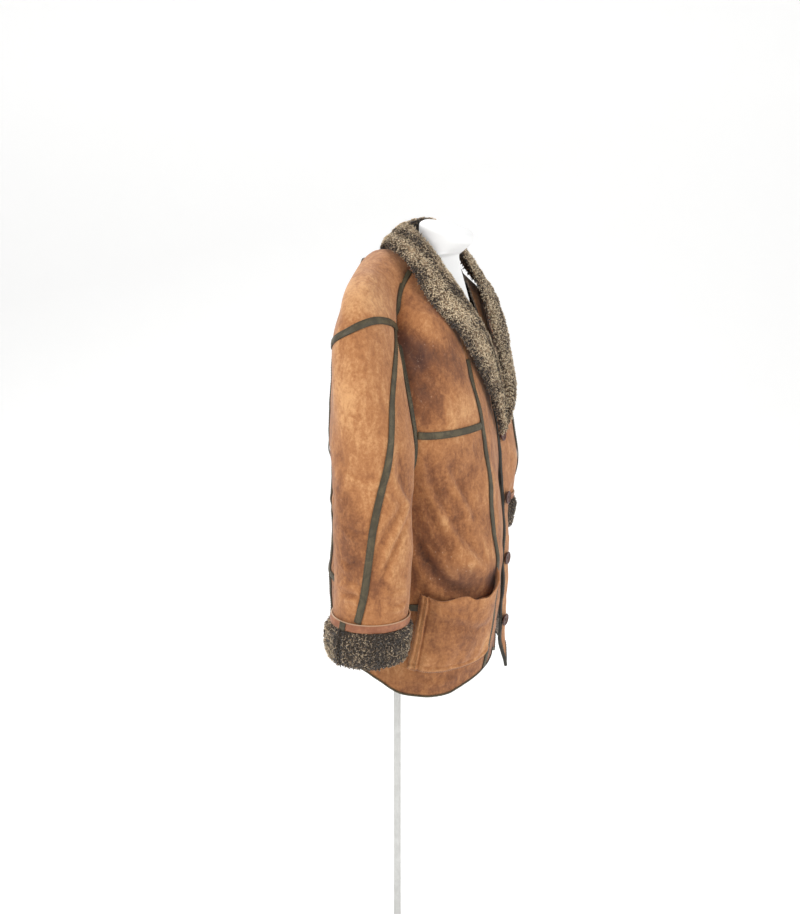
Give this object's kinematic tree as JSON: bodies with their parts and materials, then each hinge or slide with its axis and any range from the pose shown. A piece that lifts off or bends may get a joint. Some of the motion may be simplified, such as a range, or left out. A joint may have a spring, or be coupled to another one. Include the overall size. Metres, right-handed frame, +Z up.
{
  "type": "shearling coat on a dress form",
  "caption": "Open raglan shearling coat with a wool shawl collar, turned-back wool cuffs and taped seams, hung on a limbless dress form with a pole and a round base.",
  "frame": {"origin": "centre of the round base's underside, under the pole", "axes": "+Z up along the pole; the coat's front faces -Y, so the wearer's left side is at +X"},
  "size_m": [0.7218, 0.395, 1.4358],
  "materials": {
    "suede": "matte",
    "tape_leather": "satin",
    "wool": "matte",
    "band_leather": "satin",
    "button_horn": "gloss",
    "form_cover": "matte",
    "stand_paint": "satin"
  },
  "bodies": {
    "root": {"back_centre_lower": "suede", "back_centre_upper": "suede", "back_side_lower_L": "suede", "back_side_lower_R": "suede", "back_side_upper_L": "suede", "back_side_upper_R": "suede", "binding_front_L": "tape_leather", "binding_front_R": "tape_leather", "binding_hem": "tape_leather", "button_1": "button_horn", "button_2": "button_horn", "button_3": "button_horn", "button_4": "button_horn", "collar_L": "wool", "collar_R": "wool", "cuff_band_L": "band_leather", "cuff_band_R": "band_leather", "cuff_wool_L": "wool", "cuff_wool_R": "wool", "form": "form_cover", "front_band_L": "suede", "front_band_R": "suede", "front_lower_L": "suede", "front_lower_R": "suede", "front_middle_L": "suede", "front_middle_R": "suede", "front_upper_L": "suede", "front_upper_R": "suede", "pocket_L": "suede", "pocket_R": "suede", "shoulder_L": "suede", "shoulder_R": "suede", "sleeve_back_L": "suede", "sleeve_back_R": "suede", "sleeve_front_L": "suede", "sleeve_front_R": "suede", "stand": "stand_paint", "tape_back_L": "tape_leather", "tape_back_R": "tape_leather", "tape_cap_L": "tape_leather", "tape_cap_R": "tape_leather", "tape_chest_L": "tape_leather", "tape_chest_R": "tape_leather", "tape_cuff_L": "tape_leather", "tape_cuff_R": "tape_leather", "tape_hip_centre": "tape_leather", "tape_hip_front_L": "tape_leather", "tape_hip_front_R": "tape_leather", "tape_hip_side_L": "tape_leather", "tape_hip_side_R": "tape_leather", "tape_princess_L": "tape_leather", "tape_princess_R": "tape_leather", "tape_raglan_back_L": "tape_leather", "tape_raglan_back_R": "tape_leather", "tape_raglan_front_L": "tape_leather", "tape_raglan_front_R": "tape_leather", "tape_side_L": "tape_leather", "tape_side_R": "tape_leather", "tape_sleeve_L": "tape_leather", "tape_sleeve_R": "tape_leather"}
  },
  "joints": []
}
